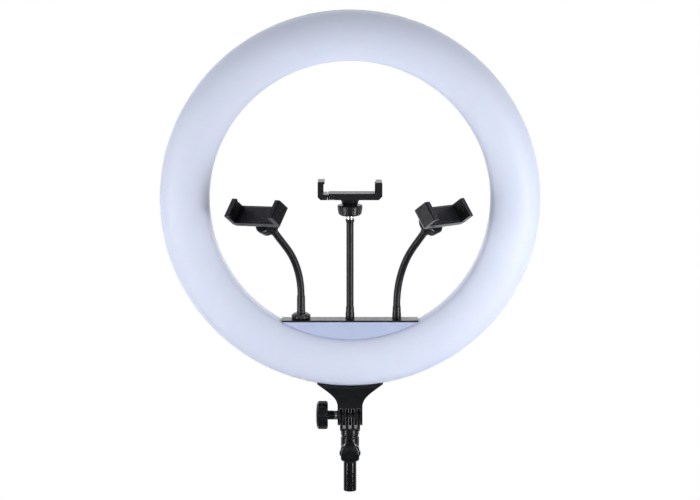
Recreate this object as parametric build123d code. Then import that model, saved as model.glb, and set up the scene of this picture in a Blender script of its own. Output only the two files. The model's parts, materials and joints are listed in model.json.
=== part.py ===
from build123d import *
import math
import os
from typing import NamedTuple

# 18 inch ring light head on a 16 mm stand tube, with a phone shelf carrying three gooseneck
# phone holders.  Millimetres.  +Z is up, the light faces -Y, left is -X, and the origin is
# the centre of the stand tube's lower end.

GAP = 0.05              # gap between faces that meet
RUN = 0.05              # radial running clearance of every turning fit

# ring
RING_Z = 361.2          # height of the ring's centre
RING_RO = 228.6         # outer radius
RING_RI = 168.8         # inner radius
SEAM_Y = -2.0           # outer parting plane between diffuser and rear housing
INNER_SEAM_Y = 6.0      # the diffuser wraps back this far round the opening
INNER_EDGE_Y = -9.5     # where its straight inner wall turns into the dome
APEX_R = 195.8          # radius of the dome's foremost circle
DOME_Y = -22.0          # foremost plane of the diffuser
BACK_Y = 17.0           # flat back of the rear housing
WALL = 2.2              # wall of the housing and the control cover
DIFF_WALL = 2.0         # diffuser wall
SHOULDER_Y = 3.0        # plane of the centres of the housing's round shoulders
SHOULDER_R = BACK_Y - SHOULDER_Y
BOARD_Y0, BOARD_Y1 = 8.0, 9.6
BOARD_RI, BOARD_RO = 176.0, 221.0
LEDS_PER_ROW = 48
LED_STEP = 360.0 / LEDS_PER_ROW
WARM_ROW_R, COOL_ROW_R = 192.0, 211.5
LED_LENGTH, LED_HEIGHT, LED_WIDTH = 3.0, 1.2, 2.8   # along the radius, Y and the row

# housing screws and vents
SCREWS_RING = 8
SCREW_CIRCLE = 205.0
SCREW_ANGLES = [22.5 + 360.0 * i / SCREWS_RING for i in range(SCREWS_RING)]
SCREW_RECESS = 1.5      # depth of the recess round each screw head
VENT_CENTRES = (90.0, 205.0, 335.0)     # angle of the middle of each group
VENT_PITCH = 2.6        # degrees between slots
VENT_SIDE = 6           # slots on either side of a group's middle one
VENT_R = 198.0          # radius of the slot centres
VENT_SCREW_GAP = 2.0    # slots nearer than this to a screw, in degrees, are left out

# phone shelf across the bottom of the opening
SHELF_Z = 216.0         # top face of the shelf
SHELF_TOP_T = 2.0
SHELF_Y0, SHELF_Y1 = -14.0, 12.0
SHELF_HALF_X = 82.4     # the black top is cut square at this half width
SHELF_R = RING_RI - GAP
PANEL_TOP = SHELF_Z - SHELF_TOP_T - GAP
PANEL_WALL = 2.4
STUD_R = 3.0            # threaded stud below each neck

# neck bracket and tilt hinge
TILT_Z = 94.8
BARREL_R = 12.6
BARREL_HALF = 15.2
BOLT_R = 3.0
INSERT_X0 = 12.5        # inner end of the insert's pocket
INSERT_R = 5.0
NECK_SCREWS = [(x, 150.5) for x in (-24.0, 24.0, -9.0, 9.0)]     # (x, z)
TAB_T = 4.35            # thickness of the tab behind the housing
HEAD_FINGERS = [(-BARREL_HALF, -12.35), (-8.8, -5.3), (-1.75, 1.75), (5.3, 8.8),
                (12.35, BARREL_HALF)]                           # (x0, x1)
ARM_FINGERS = [(-12.25, -8.9), (-5.2, -1.85), (1.85, 5.2), (8.9, 12.25)]    # (x0, x1)
# right edge of the bracket's flare, (x, z), going up
FLARE_EDGE = [(BARREL_HALF, 109.0), (18.0, 116.9), (23.5, 123.2), (32.2, 130.3), (44.5, 139.2)]
FLARE_Z0 = 105.5
# side view of the bracket, (y, z): narrow at the hinge, reaching back under the housing
BRACKET_SIDE = [(-9.5, 104), (9.5, 104), (11.0, 112), (21.4, 126), (21.4, 140),
                (-9.0, 140), (-11.0, 132), (-9.5, 112)]

# stand tube and adapter
TUBE_R = 8.0
TUBE_GRIP = 37.6        # bare length below the adapter
TUBE_TOP_R = 7.7        # turned down a little where the adapter sits
TUBE_BORE_R = 6.8
TUBE_TOP = 66.6
SLEEVE_Z0 = 38.0
SLEEVE_R = 11.3
LOCK_Z = 54.2
LOCK_R = 12.8           # lock knob
LOCK_SCREW_R = 2.5

# control box on the lower back
CTRL_X = 52.0           # half width
CTRL_Z0, CTRL_Z1 = 158.0, 189.0
CTRL_Y0 = BACK_Y + GAP
CTRL_Y1 = 35.0
DIAL_X = 30.0           # the dials sit at plus and minus this
DIAL_Z = 173.0
SHAFT_R = 2.0           # dial shafts
DRIVER_Y0, DRIVER_Y1 = 19.5, 21.1
JACK_X, JACK_Y = -38.0, 26.5
SWITCH_Y = CTRL_Y1 - 2.0    # axis of the rocker's pin
PIN_R = 1.2

# gooseneck
NECK_R = 4.45
STUD_LEN = 17.0         # end of the flexible part to ball centre
BALL_R = 5.5
CENTRE_LEN = 135.1      # shelf to ball centre on the straight neck
HINGE_PHI = 20.0        # angle along the arc where the bend hinge sits
CENTRE_HINGE = 64.2     # height of the straight neck's hinge above the shelf
CUP_ANGLE = math.radians(41.2)      # half angle of the lower part's cup
CUP_FLARE = 4.0         # width and depth of the cone beyond the cup
CUP_TOP = 5.0           # top of the cut, above the hinge

# phone holder, built with the ball centre at its own origin, its width along X, jaws up
HALF_W = 38.75
HALF_D = 12.2
PLATE_Z0, PLATE_Z1 = 12.0, 18.5
FIXED_JAW_Z = 33.2
FIXED_JAW_X = 31.0      # inner face
SLIDE_JAW_Z = 34.0
SLIDE_JAW_X = -33.0     # inner face
PAD_D = 10.6            # half depth of the rubber pads
PAD_T = 1.2             # thickness of the jaw pads
SOCKET_R = 8.8
RIB_DEPTH = 0.5         # shallow grooves beside the slider mouth


class Neck(NamedTuple):
    base_x: float
    heading: float          # direction it bends towards, degrees from +X
    straight: float         # length below the bend
    bend_r: float           # zero for the straight neck
    bend_deg: float
    tail: float             # straight length above the bend
    base_h: float           # height of the base ferrule
    width_axis: tuple       # the holder's own X in the model frame
    jaw_axis: tuple         # the holder's own Z in the model frame


NECKS = {
    "left": Neck(-59.3, 224.6, 28.7, 91.6, 41.94, 28.5, 28.5,
                 (0.755, -0.649, 0.088), (-0.545, -0.548, 0.634)),
    "centre": Neck(0.0, 270.0, 0.0, 0.0, 0.0, 0.0, 14.6,
                   (1.0, 0.0, 0.0), (0.0, 0.0, 1.0)),
    "right": Neck(56.6, 316.2, 16.0, 117.9, 40.4, 24.2, 15.2,
                  (0.640, 0.766, -0.058), (0.634, -0.484, 0.603)),
}

# ---- helpers --------------------------------------------------------------


def box(x0, x1, y0, y1, z0, z1):
    centre = Pos((x0 + x1) / 2, (y0 + y1) / 2, (z0 + z1) / 2)
    return centre * Box(x1 - x0, y1 - y0, z1 - z0)


def rod(start, direction, length, radius):
    """Cylinder from the point start along direction."""
    plane = Plane(origin=start, z_dir=direction)
    return plane * Pos(0, 0, length / 2) * Cylinder(radius, length)


def rod_y(x, z, y0, y1, radius):
    return rod((x, y0, z), (0, 1, 0), y1 - y0, radius)


def rod_z(x, y, z0, z1, radius):
    return rod((x, y, z0), (0, 0, 1), z1 - z0, radius)


def tilt_rod(x0, x1, radius):
    """Cylinder on the tilt axis."""
    return rod((x0, 0, TILT_Z), (1, 0, 0), x1 - x0, radius)


def lathe(points, origin=(0, 0, 0), direction=(0, 0, 1)):
    """Solid of revolution of a closed (radius, height) outline about direction at origin."""
    face = make_face(Plane.XZ * Polyline(*points, close=True))
    return Plane(origin=origin, z_dir=direction) * revolve(face, Axis.Z, 360)


def around_ring(face):
    """Turn a face drawn in (radius, y) about the ring's axis."""
    return Pos(0, 0, RING_Z) * revolve(face, Axis.Y, 360)


def ring_lathe(points):
    return around_ring(make_face(Plane.XY * Polyline(*points, close=True)))


def ring_disc(radius, y0, y1):
    """Solid disc on the ring's axis."""
    return Pos(0, (y0 + y1) / 2, RING_Z) * Rot(90, 0, 0) * Cylinder(radius, y1 - y0)


def prism_x(points, half_width):
    """Closed (y, z) outline extruded both ways along X."""
    with BuildSketch(Plane.YZ) as outline:
        with BuildLine():
            Polyline(*points, close=True)
        make_face()
    return extrude(outline.sketch, amount=half_width, both=True)


def save(name, shape):
    solids = shape.solids()
    shape = solids[0] if len(solids) == 1 else Compound(children=list(solids))
    export_step(shape, f"parts/{name}.step")


def save_group(name, shapes):
    """Save several loose solids as one piece."""
    save(name, Compound(children=[shape.solids()[0] for shape in shapes]))


def screw_places():
    """(x, z) of each screw on the housing's screw circle."""
    angles = [math.radians(a) for a in SCREW_ANGLES]
    return [(SCREW_CIRCLE * math.cos(a), RING_Z + SCREW_CIRCLE * math.sin(a)) for a in angles]


# ---- ring: diffuser, housing, board, LEDs ----------------------------------


def dome_line(inset):
    """Dome section grown inwards by inset: inner wall, nose, outer fall."""
    with BuildLine() as line:
        Line((RING_RI + inset, INNER_SEAM_Y - GAP), (RING_RI + inset, INNER_EDGE_Y))
        EllipticalCenterArc((APEX_R, INNER_EDGE_Y), APEX_R - RING_RI - inset,
                            INNER_EDGE_Y - DOME_Y - inset, start_angle=180, arc_size=90)
        EllipticalCenterArc((APEX_R, SEAM_Y), RING_RO - APEX_R - inset,
                            SEAM_Y - DOME_Y - inset, start_angle=270, arc_size=90)
    return line.line


def diffuser():
    """Thin milky dome, open at the back."""
    with BuildSketch(Plane.XY) as section:
        with BuildLine():
            add(dome_line(0.0))
            Line((RING_RO, SEAM_Y), (RING_RO - DIFF_WALL, SEAM_Y))
            add(dome_line(DIFF_WALL))
            Line((RING_RI + DIFF_WALL, INNER_SEAM_Y - GAP), (RING_RI, INNER_SEAM_Y - GAP))
        make_face()
    return around_ring(section.sketch)


def shell_line(inset):
    """Housing section grown inwards by inset, from the inner seam to the outer one."""
    radius = SHOULDER_R - inset
    lean = math.degrees(math.asin((INNER_SEAM_Y - SHOULDER_Y) / radius))
    inner, outer = RING_RI + SHOULDER_R, RING_RO - SHOULDER_R
    with BuildLine() as line:
        CenterArc((inner, SHOULDER_Y), radius, 180 - lean, lean - 90)
        Line((inner, BACK_Y - inset), (outer, BACK_Y - inset))
        CenterArc((outer, SHOULDER_Y), radius, 90, -90)
        Line((RING_RO - inset, SHOULDER_Y), (RING_RO - inset, SEAM_Y))
    return line.line


def seam_radius(shoulder_r):
    """Radius about the ring's axis where a shoulder arc meets the inner seam."""
    rise = INNER_SEAM_Y - SHOULDER_Y
    return RING_RI + SHOULDER_R - math.sqrt(shoulder_r ** 2 - rise ** 2)


def vent_slots():
    slots = []
    for centre in VENT_CENTRES:
        for k in range(-VENT_SIDE, VENT_SIDE + 1):
            angle = centre + VENT_PITCH * k
            if any(abs((angle - s + 180) % 360 - 180) < VENT_SCREW_GAP for s in SCREW_ANGLES):
                continue
            slot = Pos(VENT_R, 0, 0) * Box(16.0, 8.0, 2.4)
            slots.append(Pos(0, BACK_Y, RING_Z) * Rot(0, -angle, 0) * slot)
    return slots


def rear_housing():
    """Black shell with screw bosses, vent slots and a cable window to the control box."""
    with BuildSketch(Plane.XY) as section:
        with BuildLine():
            add(shell_line(0.0))
            Line((RING_RO, SEAM_Y), (RING_RO - WALL, SEAM_Y))
            add(shell_line(WALL))
            Line((seam_radius(SHOULDER_R - WALL), INNER_SEAM_Y),
                 (seam_radius(SHOULDER_R), INNER_SEAM_Y))
        make_face()
    housing = around_ring(section.sketch)
    places = screw_places()
    housing = housing.fuse(*[rod_y(x, z, BOARD_Y1, BACK_Y - 1.0, 3.6) for x, z in places])
    holes = []
    for x, z in places:
        holes.append(rod_y(x, z, BOARD_Y1 - 1, BACK_Y + 1, 1.45))
        holes.append(rod_y(x, z, BACK_Y - SCREW_RECESS, BACK_Y + 1, 3.2))
    for x, z in NECK_SCREWS:
        holes.append(rod_y(x, z, BACK_Y - 4, BACK_Y + 1, 1.95))
    window = box(-16, 16, BACK_Y - 4, BACK_Y + 2, 164, 172)
    return housing - holes - vent_slots() - window


def cross_screw(x, z, shank, shank_r, head_y, head, drive, drive_half, slot_half):
    """Screw along Y; shank and drive are (y0, y1), head is its (radius, height) outline."""
    screw = rod_y(x, z, *shank, shank_r).fuse(lathe(head, (x, head_y, z), (0, 1, 0)))
    across = box(x - drive_half, x + drive_half, *drive, z - slot_half, z + slot_half)
    upright = box(x - slot_half, x + slot_half, *drive, z - drive_half, z + drive_half)
    return screw - across.fuse(upright)


def neck_screws():
    head = [(0, 0), (3.8, 0), (3.6, 1.5), (2.4, 2.4), (0, 2.6)]
    return [cross_screw(x, z, shank=(BACK_Y - 5.5, BACK_Y + 4.5), shank_r=1.9,
                        head_y=BACK_Y + GAP + TAB_T + 0.05, head=head,
                        drive=(BACK_Y + 5.7, BACK_Y + 9), drive_half=2.2, slot_half=0.4)
            for x, z in NECK_SCREWS]


def housing_screws():
    head = [(0, 0), (2.9, 0), (2.9, 0.7), (2.0, 1.2), (0, 1.2)]
    return [cross_screw(x, z, shank=(BOARD_Y0 - 3.0, BACK_Y - 1.0), shank_r=1.4,
                        head_y=BACK_Y - SCREW_RECESS, head=head,
                        drive=(BACK_Y - 0.8, BACK_Y + 3), drive_half=1.7, slot_half=0.3)
            for x, z in screw_places()]


def led_board():
    board = ring_lathe([(BOARD_RI, BOARD_Y0), (BOARD_RO, BOARD_Y0),
                        (BOARD_RO, BOARD_Y1), (BOARD_RI, BOARD_Y1)])
    return board - [rod_y(x, z, BOARD_Y0 - 1, BOARD_Y1 + 1, 1.5) for x, z in screw_places()]


def led_row(radius, phase):
    chips = []
    for i in range(LEDS_PER_ROW):
        chip = Pos(radius, BOARD_Y0 - LED_HEIGHT / 2, 0) * Box(LED_LENGTH, LED_HEIGHT, LED_WIDTH)
        chips.append(Pos(0, 0, RING_Z) * Rot(0, -(phase + LED_STEP * i), 0) * chip)
    return chips


def reflector_rims():
    """Thin cones inside and outside the LED rows."""
    return [ring_lathe([(173.4, -1.0), (174.4, -1.0), (177.6, 7.9), (176.6, 7.9)]),
            ring_lathe([(223.0, -1.0), (224.0, -1.0), (220.8, 7.9), (219.8, 7.9)])]


# ---- neck bracket ----------------------------------------------------------


def flare_block():
    """Front view of the bracket, extruded through its depth."""
    left_edge = [(-x, z) for x, z in reversed(FLARE_EDGE)]
    with BuildSketch(Plane.XZ) as outline:
        with BuildLine():
            Line((-BARREL_HALF, FLARE_Z0), (BARREL_HALF, FLARE_Z0))
            Line((BARREL_HALF, FLARE_Z0), FLARE_EDGE[0])
            Spline(*FLARE_EDGE, tangents=[(0.15, 1), (1, 0.72)])
            Line(FLARE_EDGE[-1], left_edge[0])
            Spline(*left_edge, tangents=[(1, -0.72), (0.15, -1)])
            Line(left_edge[-1], (-BARREL_HALF, FLARE_Z0))
        make_face()
    return extrude(outline.sketch, amount=30, both=True)


def finger(x0, x1, radius, half_depth, z0, z1):
    """Hinge finger: an eye on the tilt axis with a straight root."""
    return tilt_rod(x0, x1, radius).fuse(box(x0, x1, -half_depth, half_depth, z0, z1))


def neck_bracket():
    """Flared casting under the ring, with a tab behind the housing and five fingers."""
    flare = flare_block()
    bracket = flare & prism_x(BRACKET_SIDE, 60)
    tab_y = BACK_Y + GAP
    bracket = bracket - ring_disc(RING_RO + GAP, tab_y - 60.1, tab_y)
    tab = box(-30, 30, tab_y, tab_y + TAB_T, 122, 156.0)
    tab = fillet(tab.edges().filter_by(Axis.Y).group_by(Axis.Z)[-1], 8.0)
    bracket = bracket.fuse(tab & (flare.fuse(box(-30, 30, 0, 40, 128, 170))))
    bracket = bracket.fuse(*[finger(x0, x1, BARREL_R, 9.5, TILT_Z, 106.5)
                             for x0, x1 in HEAD_FINGERS])
    bracket = bracket - tilt_rod(-30, 30, BOLT_R + RUN)
    bracket = bracket - tilt_rod(INSERT_X0, INSERT_X0 + 5, INSERT_R)
    for x, z in NECK_SCREWS:
        bracket = bracket - rod_y(x, z, BACK_Y - 1, BACK_Y + 6, 2.1)
    return bracket


# ---- phone shelf -----------------------------------------------------------


def crescent(radius, top, y0, y1):
    """Disc on the ring's axis, kept only below the height top."""
    return ring_disc(radius, y0, y1) & box(-200, 200, y0 - 1, y1 + 1, 100, top)


def shelf_body():
    """Black top and box across the opening."""
    shelf = crescent(SHELF_R, SHELF_Z, -1.0, SHELF_Y1) - crescent(
        SHELF_R - 3.0, SHELF_Z - SHELF_TOP_T, -2.0, SHELF_Y1 - WALL)
    shelf = shelf & box(-SHELF_HALF_X, SHELF_HALF_X, -30, 30, 150, 230)
    lid = crescent(SHELF_R, SHELF_Z, SHELF_Y0, -0.5) & box(
        -SHELF_HALF_X, SHELF_HALF_X, -100, 100, SHELF_Z - SHELF_TOP_T, SHELF_Z + 1)
    shelf = shelf.fuse(lid)
    # the rear of the top falls away gently behind the necks
    shelf = shelf - prism_x([(5.6, SHELF_Z), (14.0, SHELF_Z - 1.48), (14.0, SHELF_Z + 3.0),
                             (5.6, SHELF_Z + 3.0)], 120)
    for neck in NECKS.values():
        shelf = shelf - rod_z(neck.base_x, 0, SHELF_Z - 10, SHELF_Z + 10, STUD_R + RUN)
    return shelf


def shelf_front_panel():
    """White hollow panel in front of the box, with a lip along its top."""
    panel = crescent(SHELF_R, PANEL_TOP, -12.8, -1.0 - GAP) - crescent(
        SHELF_R - PANEL_WALL, PANEL_TOP - PANEL_WALL, -10.6, 0.0)
    lip = crescent(SHELF_R, PANEL_TOP, SHELF_Y0, -12.0) & box(
        -200, 200, -100, 100, PANEL_TOP - 5.2, PANEL_TOP + 1)
    panel = panel.fuse(lip)
    for neck in NECKS.values():
        panel = panel - rod_z(neck.base_x, 0, SHELF_Z - 20, SHELF_Z + 10, 7.0)
    return panel


def shelf_nuts():
    """A hexagon nut under the shelf top for each neck's stud."""
    height = 2.5
    nuts = []
    for neck in NECKS.values():
        nut = Pos(neck.base_x, 0, PANEL_TOP - height) * extrude(
            RegularPolygon(5.6, 6), amount=height)
        nuts.append(nut - rod_z(neck.base_x, 0, SHELF_Z - 12, SHELF_Z + 8, STUD_R + RUN))
    return nuts


def left_lock_nut():
    """Round nut with a grooved rim, on the shelf round the left neck."""
    x, radius, height, bore = NECKS["left"].base_x, 11.5, 6.4, 5.6
    nut = lathe([(bore, 0), (radius - 1.0, 0), (radius, 1.2), (radius, 4.4),
                 (radius - 3.0, height), (bore, height)], (x, 0, SHELF_Z + RUN))
    grooves = [Pos(x, 0, SHELF_Z + 3) * Rot(0, 0, 15 * i) * Pos(radius + 0.45, 0, 0)
               * Cylinder(0.8, 8) for i in range(24)]
    return nut - grooves


# ---- control box -----------------------------------------------------------


def control_cover():
    cover = box(-CTRL_X, CTRL_X, CTRL_Y0, CTRL_Y1, CTRL_Z0, CTRL_Z1)
    cover = fillet(cover.edges().filter_by(Axis.Y), 6.0)
    cover = fillet(cover.faces().sort_by(Axis.Y)[-1].edges(), 2.5)
    cavity = box(-CTRL_X + WALL, CTRL_X - WALL, CTRL_Y0 - 1, CTRL_Y1 - WALL,
                 CTRL_Z0 + WALL, CTRL_Z1 - WALL)
    cover = cover - fillet(cavity.edges().filter_by(Axis.Y), 4.0)
    # openings for the dials and switch at the back, the jack and USB port below
    cut_y = (CTRL_Y1 - 5, CTRL_Y1 + 2)
    for side in (-1, 1):
        cover = cover - rod_y(side * DIAL_X, DIAL_Z, *cut_y, 3.4)
    cover = cover - box(-7.2, 7.2, *cut_y, DIAL_Z - 5.2, DIAL_Z + 5.2)
    cover = cover - rod_z(JACK_X, JACK_Y, CTRL_Z0 - 6, CTRL_Z0 + 6, 4.6)
    return cover - box(32, 46, 23.4, 29.6, CTRL_Z0 - 6, CTRL_Z0 + 5)


def driver_board():
    return box(-46, 46, DRIVER_Y0, DRIVER_Y1, 162.5, 184.0)


def dial_pot(x):
    """Square case with a round bush, bored for the dial's shaft."""
    case = box(x - 6, x + 6, DRIVER_Y1, 27.5, DIAL_Z - 6, DIAL_Z + 6)
    bush = rod_y(x, DIAL_Z, 27.0, 32.0, 3.3)
    return case.fuse(bush) - rod_y(x, DIAL_Z, 24.0, 40.0, SHAFT_R + RUN)


def dial(x):
    """Fluted dial with a pointer groove and its shaft."""
    body = lathe([(0, 0.4), (8.2, 0.4), (9.0, 1.2), (8.4, 8.6), (7.6, 9.4), (0, 9.4)],
                 (x, CTRL_Y1, DIAL_Z), (0, 1, 0))
    flutes = [Pos(x, CTRL_Y1 + 5.4, DIAL_Z) * Rot(0, 20 * i, 0) * Pos(9.35, 0, 0)
              * Rot(90, 0, 0) * Cylinder(0.9, 8.4) for i in range(18)]
    body = body - flutes
    body = body - box(x - 0.5, x + 0.5, CTRL_Y1 + 8.7, CTRL_Y1 + 12, DIAL_Z + 1.5, DIAL_Z + 7.0)
    return body.fuse(rod_y(x, DIAL_Z, 26.0, CTRL_Y1 + 1.0, SHAFT_R))


def power_switch():
    """Rocker paddle, bored for the pin it turns on."""
    # (y, z) offsets from the pin
    outline = [(-3.0, -3.6), (1.5, -4.7), (3.2, -4.4), (2.4, 0.0), (4.4, 4.1), (1.5, 4.6),
               (-3.0, 3.6)]
    paddle = prism_x([(SWITCH_Y + y, DIAL_Z + z) for y, z in outline], 6.4)
    return paddle - rod((-10, SWITCH_Y, DIAL_Z), (1, 0, 0), 20, PIN_R + RUN)


def switch_case():
    """Frame round the rocker, with the pin across it."""
    frame = box(-7.1, 7.1, 22.0, SWITCH_Y + 1.9, DIAL_Z - 5.1, DIAL_Z + 5.1)
    frame = frame - box(-6.5, 6.5, 27.0, 40, DIAL_Z - 4.95, DIAL_Z + 4.95)
    return frame.fuse(rod((-6.6, SWITCH_Y, DIAL_Z), (1, 0, 0), 13.2, PIN_R))


def dc_jack():
    """Block with a round barrel below, bored, with a centre pin."""
    z = CTRL_Z0
    jack = box(JACK_X - 5, JACK_X + 5, DRIVER_Y1, 31.0, z + 2.4, z + 8.8)
    jack = jack.fuse(rod_z(JACK_X, JACK_Y, z + 0.3, z + 3.3, 4.5))
    jack = jack - rod_z(JACK_X, JACK_Y, z - 1, z + 7.6, 2.9)
    return jack.fuse(rod_z(JACK_X, JACK_Y, z + 1.3, z + 8.3, 0.9))


def usb_port():
    """Shell open below, with its tongue and a foot on the driver board."""
    z = CTRL_Z0
    port = box(32.2, 45.8, 23.6, 29.4, z + 0.2, z + 8.8)
    port = port - box(32.8, 45.2, 24.2, 28.8, z - 1, z + 7.6)
    port = port.fuse(box(33.8, 44.2, 26.9, 28.4, z + 1.0, z + 8.0))
    return port.fuse(box(34.5, 43.5, DRIVER_Y1, 24.0, z + 5.0, z + 8.8))


# ---- stand tube, adapter and tilt hinge --------------------------------------


def stand_tube():
    return lathe([(TUBE_BORE_R, 0), (TUBE_R, 0), (TUBE_R, TUBE_GRIP),
                  (TUBE_TOP_R, TUBE_GRIP + 0.3), (TUBE_TOP_R, TUBE_TOP - 0.4),
                  (TUBE_TOP_R - 0.4, TUBE_TOP), (TUBE_BORE_R, TUBE_TOP)])


def adapter_sleeve():
    """Sleeve over the tube with a yoke, four fingers and a boss for the lock screw."""
    arm = lathe([(0, SLEEVE_Z0), (SLEEVE_R - 0.8, SLEEVE_Z0), (SLEEVE_R, SLEEVE_Z0 + 0.8),
                 (SLEEVE_R, 67.0), (10.3, 68.0), (10.3, 69.6), (11.2, 70.6), (11.2, 77.6),
                 (10.2, 78.6), (10.2, 79.2), (0, 79.2)])
    yoke = box(-12.25, 12.25, -9.2, 9.2, 76.8, 79.4)
    arm = arm.fuse(fillet(yoke.edges().filter_by(Axis.Z), 3.0))
    arm = arm.fuse(rod((0, -8.5, LOCK_Z), (0, -1, 0), 5.3, 6.2))
    for x0, x1 in ARM_FINGERS:
        arm = arm.fuse(finger(x0, x1, 8.0, 8.0, 78.6, TILT_Z))
    arm = arm - rod_z(0, 0, SLEEVE_Z0 - 1, TUBE_TOP + 0.1, TUBE_TOP_R + RUN)
    arm = arm - tilt_rod(-30, 30, BOLT_R + RUN)
    return arm - rod_y(0, LOCK_Z, -20, -5, LOCK_SCREW_R + RUN)


def lock_screw():
    """Screw through the sleeve's boss, its tip facing the tube."""
    return rod((0, -TUBE_TOP_R - 0.15, LOCK_Z), (0, -1, 0), 16.2, LOCK_SCREW_R)


def lobed_knob(radius, depth, lobes, bore, bore_depth, stem_r, stem_len):
    """Knob along +Z from its stem end; the grip starts at stem_len."""
    end = stem_len + depth
    knob = lathe([(0, 0), (stem_r, 0), (stem_r, stem_len), (radius - 1.6, stem_len),
                  (radius, stem_len + 1.6), (radius, end - 3.4), (radius - 2.4, end - 1.2),
                  (radius * 0.45, end), (0, end)])
    scallops = [Rot(0, 0, 360.0 * i / lobes)
                * Pos(radius + 2.0, 0, stem_len + depth / 2 - 0.5) * Cylinder(3.1, depth + 2)
                for i in range(lobes)]
    knob = knob - scallops
    return knob - Pos(0, 0, bore_depth / 2 - 0.5) * Cylinder(bore, bore_depth + 1.0)


def lock_knob():
    knob = lobed_knob(LOCK_R, depth=12.0, lobes=10, bore=LOCK_SCREW_R, bore_depth=10.0,
                      stem_r=6.0, stem_len=4.6)
    return Plane(origin=(0, -14.2, LOCK_Z), z_dir=(0, -1, 0)) * knob


def tilt_bolt():
    return tilt_rod(-32.0, BARREL_HALF - 0.2, BOLT_R)


def tilt_insert():
    return tilt_rod(INSERT_X0, BARREL_HALF, INSERT_R) - tilt_rod(10, 18, BOLT_R + RUN)


def tilt_washer():
    bore = BOLT_R + RUN
    return lathe([(bore, 0), (5.6, 0), (6.0, 0.4), (6.0, 3.2), (5.4, 3.8), (bore, 3.8)],
                 (-BARREL_HALF - 0.1, 0, TILT_Z), (-1, 0, 0))


def tilt_knob():
    """Large knob on the left end of the tilt bolt."""
    knob = lobed_knob(17.2, depth=14.6, lobes=12, bore=BOLT_R, bore_depth=13.4,
                      stem_r=5.6, stem_len=7.8)
    return Plane(origin=(-BARREL_HALF - 4.0, 0, TILT_Z), z_dir=(-1, 0, 0)) * knob


# ---- necks: each is built bending towards its own +X, from the shelf top -------


def cup_cut():
    """What the lower part's end is cut back by: a cone for the bend's travel, and a
    round cup that the upper part's ball end sits in with a running clearance."""
    radius = NECK_R + RUN

    def cup_point(angle):
        return radius * math.sin(angle), -radius * math.cos(angle)

    rim_r, rim_z = cup_point(CUP_ANGLE)
    flare_r = rim_r + CUP_FLARE
    with BuildSketch(Plane.XZ) as section:
        with BuildLine():
            ThreePointArc((0, -radius), cup_point(CUP_ANGLE / 2), (rim_r, rim_z))
            Line((rim_r, rim_z), (flare_r, rim_z - CUP_FLARE))
            Line((flare_r, rim_z - CUP_FLARE), (flare_r, CUP_TOP))
            Line((flare_r, CUP_TOP), (0, CUP_TOP))
            Line((0, CUP_TOP), (0, -radius))
        make_face()
    return revolve(section.sketch, Axis.Z, 360)


def along(start, direction, distance):
    return tuple(s + distance * d for s, d in zip(start, direction))


def bend_station(neck, degrees):
    """Point and direction of the centre line at an angle along the bend."""
    a = math.radians(degrees)
    point = (neck.bend_r * (1 - math.cos(a)), 0, neck.straight + neck.bend_r * math.sin(a))
    return point, (math.sin(a), 0, math.cos(a))


def base_ferrule(height):
    ferrule = lathe([(0, RUN), (5.45, RUN), (5.45, 6.6), (5.15, 7.4), (4.95, height - 1.0),
                     (4.6, height), (0, height)])
    return ferrule.fuse(rod_z(0, 0, -9.0, 0.2, STUD_R))


def flexible_parts(neck):
    """Lower and upper flexible parts, and the upper one's end point and direction."""
    if neck.bend_r:
        hinge, hinge_dir = bend_station(neck, HINGE_PHI)
        bend_axis = Axis((neck.bend_r, 0, neck.straight), (0, 1, 0))
        foot = Plane(origin=(0, 0, neck.straight), z_dir=(0, 0, 1)) * Circle(NECK_R)
        lower = revolve(foot, bend_axis, HINGE_PHI)
        lower = lower.fuse(rod_z(0, 0, neck.base_h, neck.straight, NECK_R))
        start = Plane(origin=hinge, z_dir=hinge_dir) * Circle(NECK_R)
        upper = revolve(start, bend_axis, neck.bend_deg - HINGE_PHI)
        bend_end, end_dir = bend_station(neck, neck.bend_deg)
        upper = upper.fuse(rod(bend_end, end_dir, neck.tail, NECK_R))
        end = along(bend_end, end_dir, neck.tail)
    else:
        hinge, hinge_dir, end_dir = (0, 0, CENTRE_HINGE), (0, 0, 1), (0, 0, 1)
        lower = rod_z(0, 0, neck.base_h, CENTRE_HINGE, NECK_R)
        end = (0, 0, CENTRE_LEN - STUD_LEN)
        upper = rod_z(0, 0, CENTRE_HINGE, end[2], NECK_R)
    upper = upper.fuse(Pos(*hinge) * Sphere(NECK_R))
    lower = lower - Plane(origin=hinge, z_dir=hinge_dir) * cup_cut()
    return lower, upper, end, end_dir


def top_ferrule(end, end_dir):
    return lathe([(0, 0.0), (4.6, 0.0), (5.3, 1.2), (5.3, 3.3), (4.8, 4.1), (0, 4.1)],
                 end, end_dir)


def ball_stud(end, end_dir, ball):
    stud = lathe([(0, 4.1), (4.6, 4.1), (4.6, 8.2), (4.2, 8.6), (3.0, 8.6), (3.0, 13.0),
                  (0, 13.0)], end, end_dir)
    return stud.fuse(Pos(*ball) * Sphere(BALL_R))


# ---- phone holder ------------------------------------------------------------


def chamfer_near(shape, x, z, size):
    """Chamfer the Y edge nearest to (x, z)."""
    edges = shape.edges().filter_by(Axis.Y).sort_by_distance((x, 0, z))
    return chamfer(edges[0], size)


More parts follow.
